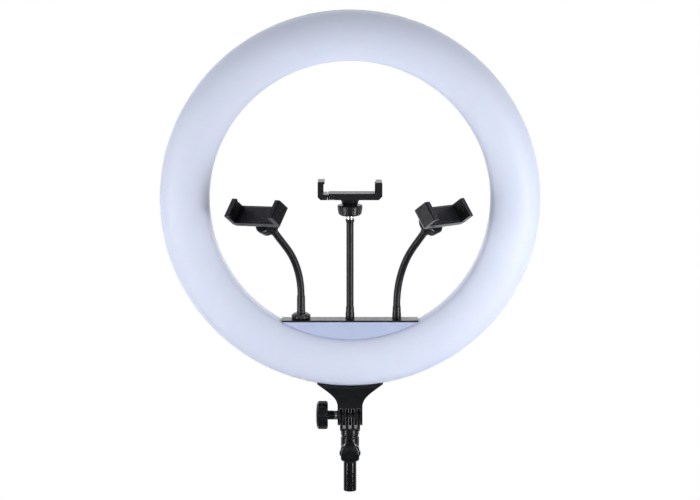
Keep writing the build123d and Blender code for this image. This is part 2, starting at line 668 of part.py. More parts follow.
def holder_body():
    """Plate with the fixed jaw at +X, hollow for the slider, ball socket below."""
    plate = box(-26.8, HALF_W, -HALF_D, HALF_D, PLATE_Z0, PLATE_Z1)
    body = plate.fuse(box(FIXED_JAW_X, HALF_W, -HALF_D, HALF_D, PLATE_Z0, FIXED_JAW_Z))
    body = chamfer_near(body, HALF_W, PLATE_Z0, 4.2)
    body = chamfer_near(body, HALF_W, FIXED_JAW_Z, 1.2)
    socket = lathe([(0, -2.8), (8.0, -2.8), (SOCKET_R, -2.0), (SOCKET_R, 5.0), (9.4, 5.6),
                    (12.0, 12.6), (0, 12.6)])
    flutes = [Rot(0, 0, 36 * i + 18) * Pos(11.9, 0, 9.4) * Rot(0, 20, 0) * Cylinder(1.7, 12)
              for i in range(10)]
    below_plate = box(-40, 40, -40, 40, 5.0, PLATE_Z0 - 0.01)
    socket = socket - [flute & below_plate for flute in flutes]
    body = body.fuse(socket)
    body = body - Sphere(BALL_R + RUN)
    # slider channel
    body = body - box(-27.5, 22.0, -7.6, 7.6, 14.0, 16.9)
    # shallow grooves across the underside and both edges near the slider mouth
    for k in range(3):
        x0 = -24.6 + 2.4 * k
        x1 = x0 + 1.0
        z0, z1 = PLATE_Z0 - 1, PLATE_Z1 - 0.8
        body = body - box(x0, x1, -HALF_D - 1, HALF_D + 1, z0, PLATE_Z0 + RIB_DEPTH)
        body = body - box(x0, x1, -HALF_D - 1, -HALF_D + RIB_DEPTH, z0, z1)
        body = body - box(x0, x1, HALF_D - RIB_DEPTH, HALF_D + 1, z0, z1)
    return body


def holder_slider():
    """Sliding jaw at -X with a slotted tongue that runs in the body's channel."""
    slider = box(-HALF_W, SLIDE_JAW_X, -HALF_D, HALF_D, PLATE_Z0, SLIDE_JAW_Z)
    slider = slider.fuse(box(-34.0, -27.3, -HALF_D, HALF_D, PLATE_Z0, PLATE_Z1))
    slider = slider.fuse(box(-33.5, -30.4, -HALF_D, HALF_D, SLIDE_JAW_Z - 2.6, SLIDE_JAW_Z))
    slider = chamfer_near(slider, -HALF_W, PLATE_Z0, 3.4)
    slider = chamfer_near(slider, -HALF_W, SLIDE_JAW_Z, 1.0)
    slider = slider.fuse(box(-28.0, 18.0, -7.5, 7.5, 14.1, 16.8))
    return slider - box(-12.0, 15.0, 1.4, 5.6, 13, 18)


def body_pads():
    """Pads on the plate and on the fixed jaw."""
    pad = box(-25.4, 30.2, -PAD_D, PAD_D, PLATE_Z1, PLATE_Z1 + 0.9)
    pad = fillet(pad.edges().filter_by(Axis.Z), 1.6)
    jaw_pad = box(FIXED_JAW_X - PAD_T, FIXED_JAW_X, -PAD_D, PAD_D,
                  PLATE_Z1 + 1.2, FIXED_JAW_Z - 2.0)
    return [pad, jaw_pad]


def slider_pad():
    return box(SLIDE_JAW_X, SLIDE_JAW_X + PAD_T, -PAD_D, PAD_D,
               PLATE_Z1 + 1.2, SLIDE_JAW_Z - 3.6)


def ball_collar():
    """Grooved collar round the ball socket."""
    bore = SOCKET_R + RUN
    collar = lathe([(bore, 4.4), (14.0, 4.4), (15.1, 3.4), (15.0, 0.5), (13.9, -6.2),
                    (12.2, -8.0), (9.6, -8.0), (9.6, -3.4), (bore, -3.2)])
    grooves = [Rot(0, 0, 30 * i + 15) * Pos(15.75, 0, -2) * Rot(0, 5, 0) * Cylinder(1.7, 18)
               for i in range(12)]
    return collar - grooves


def save_neck(name, neck):
    """Save one neck and the phone holder on its ball."""
    place = Pos(neck.base_x, 0, SHELF_Z) * Rot(0, 0, neck.heading)
    lower, upper, end, end_dir = flexible_parts(neck)
    ball = along(end, end_dir, STUD_LEN)
    save(f"{name}_base_ferrule", place * base_ferrule(neck.base_h))
    save(f"{name}_neck_lower", place * lower)
    save(f"{name}_neck_upper", place * upper)
    save(f"{name}_top_ferrule", place * top_ferrule(end, end_dir))
    save(f"{name}_ball_stud", place * ball_stud(end, end_dir, ball))

    heading = math.radians(neck.heading)
    ball_centre = Vector(neck.base_x + ball[0] * math.cos(heading),
                         ball[0] * math.sin(heading), SHELF_Z + ball[2])
    hold = Plane(origin=ball_centre, x_dir=neck.width_axis, z_dir=neck.jaw_axis)
    save(f"{name}_holder_body", hold * holder_body())
    save(f"{name}_holder_slider", hold * holder_slider())
    save_group(f"{name}_body_pads", [hold * pad for pad in body_pads()])
    save(f"{name}_slider_pad", hold * slider_pad())
    save(f"{name}_ball_collar", hold * ball_collar())


# ---- build everything ----------------------------------------------------------

os.makedirs("parts", exist_ok=True)

# single pieces, each saved under its function's name
for piece in (diffuser, neck_bracket, rear_housing, led_board, shelf_body, shelf_front_panel,
              left_lock_nut, control_cover, driver_board, power_switch, switch_case, dc_jack,
              usb_port, stand_tube, adapter_sleeve, lock_screw, lock_knob, tilt_bolt,
              tilt_insert, tilt_washer, tilt_knob):
    save(piece.__name__, piece())

for group in (neck_screws, housing_screws, reflector_rims, shelf_nuts):
    save_group(group.__name__, group())

save_group("leds_warm", led_row(WARM_ROW_R, LED_STEP / 4))
save_group("leds_cool", led_row(COOL_ROW_R, LED_STEP * 3 / 4))
save_group("dial_pots", [dial_pot(-DIAL_X), dial_pot(DIAL_X)])
save("brightness_dial", dial(DIAL_X))
save("colour_dial", dial(-DIAL_X))

for neck_name, neck_sizes in NECKS.items():
    save_neck(neck_name, neck_sizes)
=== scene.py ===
# A ring lamp over a shelf that carries three goosenecks, each ending in a clamp.
# Metres, +Z up.  The front faces -Y, the ring lies in an XZ plane centred on x = 0,
# and +X is to the right as seen from the front.
import json
import math

import bmesh
import bpy
from mathutils import Matrix, Vector


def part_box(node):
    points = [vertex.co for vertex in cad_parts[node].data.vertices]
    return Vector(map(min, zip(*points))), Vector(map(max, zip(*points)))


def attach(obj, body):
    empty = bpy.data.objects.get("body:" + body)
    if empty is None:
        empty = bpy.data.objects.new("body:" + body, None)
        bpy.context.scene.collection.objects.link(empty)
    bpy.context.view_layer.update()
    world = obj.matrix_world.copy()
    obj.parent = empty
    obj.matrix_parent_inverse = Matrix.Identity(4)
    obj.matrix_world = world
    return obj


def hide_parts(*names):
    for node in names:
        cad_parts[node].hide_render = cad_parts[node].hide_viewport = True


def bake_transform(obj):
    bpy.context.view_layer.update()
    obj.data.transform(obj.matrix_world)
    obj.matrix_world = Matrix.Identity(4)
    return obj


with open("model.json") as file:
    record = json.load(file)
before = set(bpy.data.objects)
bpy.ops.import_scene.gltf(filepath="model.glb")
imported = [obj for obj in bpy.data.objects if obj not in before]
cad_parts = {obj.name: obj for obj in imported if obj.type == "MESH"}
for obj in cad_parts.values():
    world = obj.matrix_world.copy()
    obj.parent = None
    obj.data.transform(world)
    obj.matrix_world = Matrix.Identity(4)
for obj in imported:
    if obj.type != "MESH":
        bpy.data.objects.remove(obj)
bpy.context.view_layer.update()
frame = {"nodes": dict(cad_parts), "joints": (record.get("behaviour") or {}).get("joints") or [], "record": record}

MM = 0.001
SLOT_OF = {part["node"]: part["material_slot"] for part in frame["record"]["subparts"]}
JOINTS = {joint["name"]: joint for joint in frame["joints"]}
scene = bpy.context.scene


# ---------------------------------------------------------------------------
# shader helpers
# ---------------------------------------------------------------------------
def empty_tree(owner):
    """The node tree of a material or world, cleared."""
    owner.use_nodes = True
    owner.node_tree.nodes.clear()
    return owner.node_tree


def add_node(tree, kind, **settings):
    node = tree.nodes.new("ShaderNode" + kind)
    for key, value in settings.items():
        setattr(node, key, value)
    return node


class Shader:
    """A small node graph builder.

    Coordinates are the object's own, in metres, or a named vector attribute.
    """

    def __init__(self, name, attribute=None):
        self.material = bpy.data.materials.new(name)
        self.tree = empty_tree(self.material)
        self.link = self.tree.links.new
        output = self.node("OutputMaterial")
        self.surface = self.node("BsdfPrincipled")
        self.link(self.surface.outputs[0], output.inputs[0])
        if attribute:
            source = self.node("Attribute", attribute_name=attribute)
            self.coords = source.outputs["Vector"]
        else:
            self.coords = self.node("TexCoord").outputs["Object"]
        self.normal = None

    def node(self, kind, **settings):
        return add_node(self.tree, kind, **settings)

    def put(self, socket, value):
        """Link a socket, or set a number or an RGB colour."""
        if isinstance(value, bpy.types.NodeSocket):
            self.link(value, socket)
        elif isinstance(value, tuple):
            socket.default_value = (*value, 1.0)
        else:
            socket.default_value = value

    def noise(self, scale, detail=2.0, rough=0.5, coords=None, distortion=0.0):
        node = self.node("TexNoise")
        self.link(coords or self.coords, node.inputs["Vector"])
        node.inputs["Scale"].default_value = scale
        node.inputs["Detail"].default_value = detail
        node.inputs["Roughness"].default_value = rough
        node.inputs["Distortion"].default_value = distortion
        return node.outputs[0]

    def cells(self, scale, feature="F1"):
        node = self.node("TexVoronoi", feature=feature)
        self.link(self.coords, node.inputs["Vector"])
        node.inputs["Scale"].default_value = scale
        return node.outputs["Distance"]

    def stretch(self, factors):
        """Coordinates multiplied axis by axis; a small factor draws a texture out."""
        node = self.node("VectorMath", operation="MULTIPLY")
        self.link(self.coords, node.inputs[0])
        node.inputs[1].default_value = factors
        return node.outputs[0]

    def math(self, operation, first, second):
        node = self.node("Math", operation=operation)
        self.put(node.inputs[0], first)
        self.put(node.inputs[1], second)
        return node.outputs[0]

    def times(self, value, factor):
        return self.math("MULTIPLY", value, factor)

    def layered(self, main, extra, weight):
        return self.math("ADD", main, self.times(extra, weight))

    def fit(self, value, span=(0.3, 0.7), to=(0.0, 1.0)):
        """Map span onto to, clamped; the default span covers most of a noise."""
        node = self.node("MapRange", clamp=True)
        self.link(value, node.inputs["Value"])
        node.inputs["From Min"].default_value = span[0]
        node.inputs["From Max"].default_value = span[1]
        node.inputs["To Min"].default_value = to[0]
        node.inputs["To Max"].default_value = to[1]
        return node.outputs["Result"]

    def cloud(self, scale, detail=2.0, rough=0.5, span=(0.3, 0.7), to=(0.0, 1.0)):
        """Noise mapped to a range."""
        return self.fit(self.noise(scale, detail, rough), span, to)

    def mix(self, factor, first, second):
        node = self.node("Mix", data_type="RGBA")
        self.put(node.inputs[0], factor)
        self.put(node.inputs[6], first)
        self.put(node.inputs[7], second)
        return node.outputs[2]

    def bevel(self, radius):
        node = self.node("Bevel", samples=4)
        node.inputs["Radius"].default_value = radius
        self.normal = node.outputs[0]

    def edges(self):
        """Bright where the rounded normal leaves the true one: the part's edges."""
        geometry = self.node("NewGeometry")
        dot = self.node("VectorMath", operation="DOT_PRODUCT")
        self.link(self.normal, dot.inputs[0])
        self.link(geometry.outputs["Normal"], dot.inputs[1])
        return self.fit(self.math("SUBTRACT", 1.0, dot.outputs["Value"]), span=(0.004, 0.10))

    def rubbed(self, scale, rough=0.5, span=(0.45, 0.65)):
        """Edges broken up by noise."""
        return self.times(self.edges(), self.cloud(scale, 4.0, rough, span))

    def bump(self, height, distance, strength=0.5):
        node = self.node("Bump")
        node.inputs["Distance"].default_value = distance
        node.inputs["Strength"].default_value = strength
        self.link(height, node.inputs["Height"])
        if self.normal is not None:
            self.link(self.normal, node.inputs["Normal"])
        self.normal = node.outputs[0]

    def finish(self, colour, rough, metallic=0.0, **extra):
        """Feed the surface; extra names its inputs with _ for a space."""
        inputs = self.surface.inputs
        self.link(colour, inputs["Base Color"])
        self.link(rough, inputs["Roughness"])
        inputs["Metallic"].default_value = metallic
        self.link(self.normal, inputs["Normal"])
        for key, value in extra.items():
            inputs[key.replace("_", " ")].default_value = value
        return self.material


# ---------------------------------------------------------------------------
# materials
# ---------------------------------------------------------------------------
def grained(name, base, light, rough, grain, depth, radius, wear, worn=None, metallic=0.0):
    """Moulded or coated black part: fine grain, patchy tone, rubbed edges."""
    mat = Shader(name)
    mat.bevel(radius)
    rub = mat.times(mat.rubbed(scale=420.0, rough=0.6, span=(0.42, 0.66)), wear)
    fine = mat.noise(scale=grain, detail=3.0, rough=0.55)
    patches = mat.cloud(scale=55.0, detail=4.0, rough=0.55, span=(0.32, 0.70))
    colour = mat.mix(patches, base, light)
    colour = mat.mix(mat.fit(fine, span=(0.55, 0.80), to=(0.0, 0.35)), colour, light)
    gloss = mat.math("ADD", mat.cloud(scale=165.0, detail=3.0, to=(rough - 0.06, rough + 0.06)),
                     mat.fit(fine, to=(-0.03, 0.03)))
    # without a worn colour of its own, an edge rubs to a brighter light tone
    colour = mat.mix(rub, colour, worn or tuple(3.2 * c for c in light))
    gloss = mat.math("SUBTRACT", gloss, mat.times(rub, factor=0.10))
    mat.bump(mat.layered(fine, mat.noise(scale=330.0), weight=0.6), depth, strength=0.6)
    return mat.finish(colour, gloss, metallic)


def metal(name, base, dark, rough):
    """Turned or rolled bare metal with fine tool lines and faint tarnish."""
    mat = Shader(name)
    mat.bevel(radius=0.00025)
    rub = mat.edges()
    lines = mat.noise(scale=1.0, detail=4.0, rough=0.6,
                      coords=mat.stretch((4000.0, 4000.0, 300.0)))
    tarnish = mat.noise(scale=160.0, detail=5.0, rough=0.6)
    colour = mat.mix(mat.fit(tarnish, span=(0.40, 0.72), to=(0.0, 0.7)), base, dark)
    bright = tuple(min(1.0, 1.25 * c) for c in base)
    colour = mat.mix(mat.times(rub, factor=0.5), colour, bright)
    gloss = mat.math("ADD", mat.fit(lines, to=(rough - 0.06, rough + 0.08)),
                     mat.fit(tarnish, span=(0.4, 0.7), to=(0.0, 0.10)))
    mat.bump(lines, distance=0.00003)
    return mat.finish(colour, gloss, metallic=1.0)


def tube_enamel():
    """Glossy stove enamel with faint draw lines along the tube."""
    mat = Shader("tube_enamel")
    mat.bevel(radius=0.0004)
    rub = mat.rubbed(scale=500.0)
    draw = mat.noise(scale=1.0, detail=3.0, rough=0.6,
                     coords=mat.stretch((1500.0, 1500.0, 14.0)))
    orange_peel = mat.noise(scale=700.0)
    colour = mat.mix(mat.cloud(scale=70.0, detail=4.0),
                     (0.0036, 0.0038, 0.0052), (0.0062, 0.0066, 0.0086))
    colour = mat.mix(mat.times(rub, factor=0.6), colour, (0.06, 0.06, 0.07))
    mat.bump(mat.layered(orange_peel, draw, weight=0.7), distance=0.000003)
    return mat.finish(colour, mat.cloud(scale=240.0, detail=3.0, to=(0.10, 0.18)))


def milk_acrylic():
    """Milky acrylic with faint flow tone and a fine satin skin."""
    mat = Shader("milk_acrylic")
    flow = mat.noise(scale=5.0, detail=3.0, distortion=0.6)
    fine = mat.noise(scale=1500.0, detail=3.0, rough=0.6)
    colour = mat.mix(mat.fit(flow), (0.700, 0.748, 0.905), (0.728, 0.772, 0.915))
    colour = mat.mix(mat.cloud(scale=900.0, span=(0.60, 0.85), to=(0.0, 0.25)),
                     colour, (0.76, 0.80, 0.93))
    mat.bump(mat.layered(fine, mat.noise(scale=90.0), weight=0.5), distance=0.00004)
    return mat.finish(colour, mat.cloud(scale=60.0, detail=4.0, to=(0.40, 0.50)),
                      Subsurface_Weight=0.12, Subsurface_Scale=0.004,
                      Specular_IOR_Level=0.35)


def panel_white():
    """White enamelled front panel of the shelf, its colour darkened to a grey-blue as painted shade."""
    mat = Shader("panel_white")
    mat.bevel(radius=0.0005)
    rub = mat.rubbed(scale=300.0)
    fine = mat.noise(scale=1400.0, detail=3.0)
    # grey-blue base tones: painted shade, the white panel darkened as if recessed in shade
    colour = mat.mix(mat.cloud(scale=40.0, detail=4.0),
                     (0.480, 0.550, 0.765), (0.510, 0.580, 0.785))
    colour = mat.mix(mat.times(rub, factor=0.5), colour, (0.74, 0.77, 0.85))
    mat.bump(fine, distance=0.00005)
    return mat.finish(colour, mat.fit(fine, to=(0.42, 0.52)))


def neck_vinyl():
    """Vinyl skin over the gooseneck coil, textured by its rest shape."""
    mat = Shader("neck_vinyl", attribute="rest_co")
    fine = mat.noise(scale=1100.0, detail=3.0, rough=0.6)
    colour = mat.mix(mat.cloud(scale=120.0, detail=4.0),
                     (0.0052, 0.0048, 0.0066), (0.0084, 0.0078, 0.0102))
    colour = mat.mix(mat.cloud(scale=2200.0, span=(0.62, 0.78), to=(0.0, 0.3)),
                     colour, (0.014, 0.0145, 0.018))
    mat.bump(mat.layered(fine, mat.noise(scale=260.0), weight=0.8), distance=0.000005)
    return mat.finish(colour, mat.cloud(scale=330.0, detail=4.0, to=(0.36, 0.46)))


def pad_rubber():
    """Dark rubber of the clamp pads with a patchy dusty bloom."""
    mat = Shader("pad_rubber")
    fine = mat.noise(scale=2400.0, detail=4.0, rough=0.65)
    dust = mat.noise(scale=300.0, detail=4.0, rough=0.6)
    colour = mat.mix(mat.fit(dust, span=(0.40, 0.72)),
                     (0.0060, 0.0064, 0.0082), (0.0115, 0.0120, 0.0145))
    colour = mat.mix(mat.fit(fine, span=(0.55, 0.8), to=(0.0, 0.4)),
                     colour, (0.018, 0.0185, 0.022))
    mat.bump(mat.layered(fine, mat.cells(scale=1500.0), weight=0.6), distance=0.00003)
    return mat.finish(colour, mat.fit(dust, to=(0.30, 0.44)))


def board(name, base, light, trace):
    """Printed board: solder mask over copper runs, with drilled specks."""
    mat = Shader(name)
    mat.bevel(radius=0.0002)
    runs = mat.cells(scale=140.0, feature="DISTANCE_TO_EDGE")
    track = mat.fit(runs, span=(0.03, 0.06), to=(1.0, 0.0))
    specks = mat.fit(mat.cells(scale=330.0), span=(0.10, 0.13), to=(1.0, 0.0))
    colour = mat.mix(mat.cloud(scale=90.0, detail=3.0), base, light)
    colour = mat.mix(mat.times(track, factor=0.6), colour, trace)
    colour = mat.mix(specks, colour, (0.55, 0.52, 0.45))
    mat.bump(mat.layered(track, mat.noise(scale=1500.0), weight=0.3),
             distance=0.00004, strength=0.6)
    return mat.finish(colour, mat.cloud(scale=500.0, detail=3.0, to=(0.28, 0.42)))


def reflector_white():
    mat = Shader("reflector_white")
    mat.bevel(radius=0.0003)
    colour = mat.mix(mat.cloud(scale=60.0, detail=4.0), (0.78, 0.79, 0.80), (0.88, 0.89, 0.89))
    colour = mat.mix(mat.times(mat.edges(), factor=0.4), colour, (0.94, 0.94, 0.94))
    mat.bump(mat.noise(scale=1700.0, detail=3.0), distance=0.00004)
    return mat.finish(colour, mat.cloud(scale=400.0, detail=3.0, to=(0.25, 0.40)))


def chip(name, phosphor, deep):
    """LED chip: mottled phosphor with a pale edge."""
    mat = Shader(name)
    mat.bevel(radius=0.0002)
    spots = mat.cloud(scale=600.0, detail=3.0, span=(0.35, 0.65))
    colour = mat.mix(spots, phosphor, deep)
    colour = mat.mix(mat.times(mat.edges(), factor=0.8), colour, (0.85, 0.85, 0.83))
    mat.bump(mat.noise(scale=2500.0), distance=0.00003)
    return mat.finish(colour, mat.cloud(scale=900.0, detail=3.0, to=(0.22, 0.40)))


# by material slot
MATERIALS = {
    "plastic_black": grained(
        "moulded_black", base=(0.0050, 0.0054, 0.0070), light=(0.0080, 0.0086, 0.0108),
        rough=0.32, grain=2600.0, depth=0.000008, radius=0.0005,
        wear=0.30, worn=(0.030, 0.031, 0.037)),
    "knob_black": grained(
        "knob_black", base=(0.0034, 0.0038, 0.0052), light=(0.0056, 0.0062, 0.0080),
        rough=0.30, grain=1900.0, depth=0.000008, radius=0.0006,
        wear=0.40, worn=(0.032, 0.033, 0.039)),
    "cast_black": grained(
        "powder_black", base=(0.0040, 0.0043, 0.0058), light=(0.0068, 0.0072, 0.0092),
        rough=0.34, grain=1300.0, depth=0.000016, radius=0.0006,
        wear=0.45, worn=(0.036, 0.037, 0.043)),
    "housing_black": grained(
        "shell_black", base=(0.0060, 0.0063, 0.0078), light=(0.0092, 0.0096, 0.0114),
        rough=0.46, grain=1600.0, depth=0.00007, radius=0.0007, wear=0.3),
    "screw_black": grained(
        "screw_black", base=(0.014, 0.014, 0.016), light=(0.024, 0.024, 0.027),
        rough=0.36, grain=3000.0, depth=0.00003, radius=0.0002,
        wear=0.8, worn=(0.30, 0.30, 0.31), metallic=0.6),
    "bright_metal": metal(
        "bright_metal", base=(0.82, 0.82, 0.83), dark=(0.60, 0.60, 0.62), rough=0.20),
    "zinc_steel": metal(
        "zinc_steel", base=(0.66, 0.67, 0.70), dark=(0.45, 0.46, 0.50), rough=0.30),
    "brass": metal("brass", base=(0.72, 0.52, 0.24), dark=(0.45, 0.31, 0.13), rough=0.28),
    "socket_metal": metal(
        "socket_metal", base=(0.60, 0.61, 0.63), dark=(0.40, 0.41, 0.44), rough=0.32),
    "tube_black": tube_enamel(),
    "diffuser_milk": milk_acrylic(),
    "panel_white": panel_white(),
    "neck_rubber": neck_vinyl(),
    "pad_rubber": pad_rubber(),
    "pcb_white": board("board_white", base=(0.70, 0.72, 0.72), light=(0.80, 0.81, 0.80),
                       trace=(0.58, 0.61, 0.62)),
    "pcb_green": board("board_green", base=(0.012, 0.10, 0.045), light=(0.018, 0.14, 0.060),
                       trace=(0.04, 0.22, 0.10)),
    "reflector_white": reflector_white(),
    "led_warm": chip("chip_warm", phosphor=(0.86, 0.52, 0.12), deep=(0.74, 0.40, 0.08)),
    "led_cool": chip("chip_cool", phosphor=(0.86, 0.80, 0.28), deep=(0.78, 0.70, 0.20)),
}


# ---------------------------------------------------------------------------
# mesh helpers
# ---------------------------------------------------------------------------
def split_edges(obj, degrees):
    split = obj.modifiers.new("split", "EDGE_SPLIT")
    split.split_angle = math.radians(degrees)
    return split


def skin(obj, slot_name):
    """Smooth shading and the slot's material."""
    for poly in obj.data.polygons:
        poly.use_smooth = True
    obj.data.materials.append(MATERIALS[slot_name])


def link_mesh(name, bm):
    mesh = bpy.data.meshes.new(name)
    bm.to_mesh(mesh)
    bm.free()
    obj = bpy.data.objects.new(name, mesh)
    scene.collection.objects.link(obj)
    return obj


def make_part(name, bm, slot_name):
    bmesh.ops.recalc_face_normals(bm, faces=bm.faces)
    obj = link_mesh(name, bm)
    skin(obj, slot_name)
    return obj


def bridge(bm, first, second):
    """Quads between two closed loops of equal length."""
    count = len(first)
    for i in range(count):
        j = (i + 1) % count
        bm.faces.new((first[i], first[j], second[j], second[i]))


# ---------------------------------------------------------------------------
# CAD pieces: smooth where round, crisp where the angle is sharp
# ---------------------------------------------------------------------------
def dress(obj, slot_name):
    obj.data.materials.clear()
    skin(obj, slot_name)
    weld = obj.modifiers.new("weld", "WELD")
    weld.merge_threshold = 2e-6
    split_edges(obj, degrees=28).use_edge_sharp = False
    normals = obj.modifiers.new("normals", "WEIGHTED_NORMAL")
    normals.keep_sharp = False
    normals.weight = 60


for node_name, cad_piece in frame["nodes"].items():
    dress(cad_piece, SLOT_OF[node_name])


# ---------------------------------------------------------------------------
# diffuser: one smooth hollow dome swept round the ring
# ---------------------------------------------------------------------------
box_lo, box_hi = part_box("diffuser")
RING_R = (box_hi.x - box_lo.x) / 2
RING_Z = (box_hi.z + box_lo.z) / 2
BACK_Y, NOSE_Y = box_hi.y, box_lo.y
SEAM_Y = -2.0 * MM                  # where the dome ends at the outer rim
OPENING_EDGE_Y = -9.5 * MM          # where the opening's wall starts to curve
OPENING_R = RING_R - 59.8 * MM
NOSE_R = RING_R - 32.8 * MM         # radius of the foremost line
WALL = 2.0 * MM
EASE = 0.25 * MM                    # eased corner at the foot of each wall
SEAM_STEP = 0.0001 * MM             # forward step of the seam's inner corner
OPENING_STEPS = 7
RING_SEGMENTS = 320


def half_dome(offset, steps):
    """(radius, y) from the opening's back edge round the nose to the outer seam."""
    points = []
    for i in range(OPENING_STEPS):
        points.append((OPENING_R + offset,
                       BACK_Y + (OPENING_EDGE_Y - BACK_Y) * i / OPENING_STEPS))
    for i in range(steps):
        angle = math.pi / 2 * i / steps
        points.append((NOSE_R - (NOSE_R - OPENING_R - offset) * math.cos(angle),
                       OPENING_EDGE_Y + (NOSE_Y + offset - OPENING_EDGE_Y) * math.sin(angle)))
    for i in range(steps + 1):
        angle = math.pi / 2 * i / steps
        points.append((NOSE_R + (RING_R - NOSE_R - offset) * math.sin(angle),
                       SEAM_Y + (NOSE_Y + offset - SEAM_Y) * math.cos(angle)))
    return points


def dome_profile():
    """Closed section: outer skin, seam foot, inner skin back, opening foot."""
    outer = half_dome(0.0, steps=30)
    inner = half_dome(WALL, steps=16)
    outer[0] = (OPENING_R, BACK_Y - EASE)
    outer[-1] = (RING_R, SEAM_Y - EASE)
    seam_foot = [(RING_R - EASE, SEAM_Y), (RING_R - WALL, SEAM_Y - SEAM_STEP)]
    opening_foot = [(OPENING_R + EASE, BACK_Y)]
    return outer + seam_foot + inner[-2::-1] + opening_foot


def build_diffuser():
    bm = bmesh.new()
    profile = dome_profile()
    sections = []
    for k in range(RING_SEGMENTS):
        angle = 2 * math.pi * k / RING_SEGMENTS
        sections.append([bm.verts.new((r * math.cos(angle), y, RING_Z + r * math.sin(angle)))
                         for r, y in profile])
    for k in range(RING_SEGMENTS):
        bridge(bm, sections[k], sections[(k + 1) % RING_SEGMENTS])
    dome = make_part("diffuser_dome", bm, "diffuser_milk")
    split_edges(dome, degrees=35)
    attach(dome, "head")
    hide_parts("diffuser")


build_diffuser()

# ---------------------------------------------------------------------------
# goosenecks: one vinyl sleeve each, with the coil showing as fine rounds
# ---------------------------------------------------------------------------
SHELF_Z = JOINTS["left_swivel"]["pos_m"][2]
GROOVE_R = 4.45 * MM - 0.06 * MM    # sleeve radius at the bottom of the coil's grooves
COIL_RISE = 0.035 * MM
COIL_PITCH = 1.9 * MM
ROWS_PER_COIL = 6
SLEEVE_SIDES = 28
FERRULE_LAP = 0.6                   # mm the sleeve starts below the ferrule's top
END_LAP = 0.4 * MM                  # the sleeve runs past the neck's end

# direction (deg), straight start, bend radius, bend (deg), straight end, ferrule height,
# blend reach below and above the bend joint; lengths in mm
NECKS = {
    "left": (224.6, 28.7, 91.6, 41.94, 28.5, 28.5, 29.0, 54.0),
    "centre": (270.0, 118.1, 0.0, 0.0, 0.0, 14.6, 44.0, 48.0),
    "right": (316.2, 16.0, 117.9, 40.4, 24.2, 15.2, 38.0, 56.0),
}


def build_neck(side, direction, straight, bend_r, bend, tail, ferrule, reach_low, reach_high):
    straight, bend_r, tail = straight * MM, bend_r * MM, tail * MM
    bend = math.radians(bend)
    arc = bend_r * bend
    # the neck is laid out bending towards +X, then turned to its direction
    swivel_x = JOINTS[f"{side}_swivel"]["pos_m"][0]
    place = (Matrix.Translation((swivel_x, 0.0, SHELF_Z))
             @ Matrix.Rotation(math.radians(direction), 4, "Z"))

    def centre_line(s):
        """Point and lean at distance s along the neck."""
        if not bend_r or s <= straight:
            return Vector((0, 0, s)), 0.0
        lean = min((s - straight) / bend_r, bend)
        past = max(0.0, s - straight - arc)
        return Vector((bend_r * (1 - math.cos(lean)) + past * math.sin(lean), 0,
                       straight + bend_r * math.sin(lean) + past * math.cos(lean))), lean

    start = (ferrule - FERRULE_LAP) * MM
    length = straight + arc + tail + END_LAP - start
    row_count = int(round(length / COIL_PITCH * ROWS_PER_COIL))
    bm = bmesh.new()
    rows = []
    for k in range(row_count + 1):
        s = start + length * k / row_count
        point, lean = centre_line(s)
        normal = Vector((math.cos(lean), 0, -math.sin(lean)))
        row = []
        for i in range(SLEEVE_SIDES):
            angle = 2 * math.pi * i / SLEEVE_SIDES
            # the coil is wound, so its rounds climb slowly round the neck
            phase = 2 * math.pi * (s / COIL_PITCH - i / SLEEVE_SIDES)
            r = GROOVE_R + COIL_RISE * (1 - (0.5 + 0.5 * math.cos(phase)) ** 3)
            row.append(bm.verts.new(place @ (point + normal * (r * math.cos(angle))
                                             + Vector((0, r * math.sin(angle), 0)))))
        rows.append(row)
    for lower, upper in zip(rows, rows[1:]):
        bridge(bm, lower, upper)
    bm.faces.new(rows[0][::-1])
    bm.faces.new(rows[-1])
    sleeve = make_part(f"{side}_neck_sleeve", bm, "neck_rubber")

    # the built coordinates, stored as rest_co, keep the texture fixed to the sleeve
    rest = sleeve.data.attributes.new("rest_co", "FLOAT_VECTOR", "POINT")
    rest.data.foreach_set("vector", [c for v in sleeve.data.vertices for c in v.co])

    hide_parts(f"{side}_neck_lower", f"{side}_neck_upper")
    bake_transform(sleeve)


for neck_side, neck_sizes in NECKS.items():
    build_neck(neck_side, *neck_sizes)

# ---------------------------------------------------------------------------
# clamp pads: ribbed rubber strips with rounded rims
# ---------------------------------------------------------------------------
PAD_WIDTH = 21.2 * MM
PAD_ROW = 0.55 * MM                 # spacing of mesh rows across the width
COLUMNS_PER_RIB = 8
RIM_ROUND = 0.55 * MM
RIM_FLAT = 1.1 * MM                 # plain border before the ribs begin
RIB_FADE = 0.5 * MM                 # over which the ribs reach full depth
PAD_LIFT = 0.02 * MM                # gap between a pad's underside and its seat
JAW_PAD_FOOT = 19.7                 # mm from the clamp's turn joint along its axis

# name, place along the clamp (mm), facing along it, length (mm), rides, replaces
JAW_PADS = [
    ("fixed", 31.0, -1, 11.5, "clamp", "body_pads"),
    ("moving", -33.0, 1, 10.7, "jaw", "slider_pad"),
]


def clamp_frame(side):
    """Origin, direction against the jaw's slide, width direction and turn axis."""
    turn = JOINTS[f"{side}_clamp_turn"]
    axis = Vector(turn["axis"]).normalized()
    along = -Vector(JOINTS[f"{side}_jaw_slide"]["axis"])
    along = (along - axis * along.dot(axis)).normalized()
    return Vector(turn["pos_m"]), along, axis.cross(along), axis


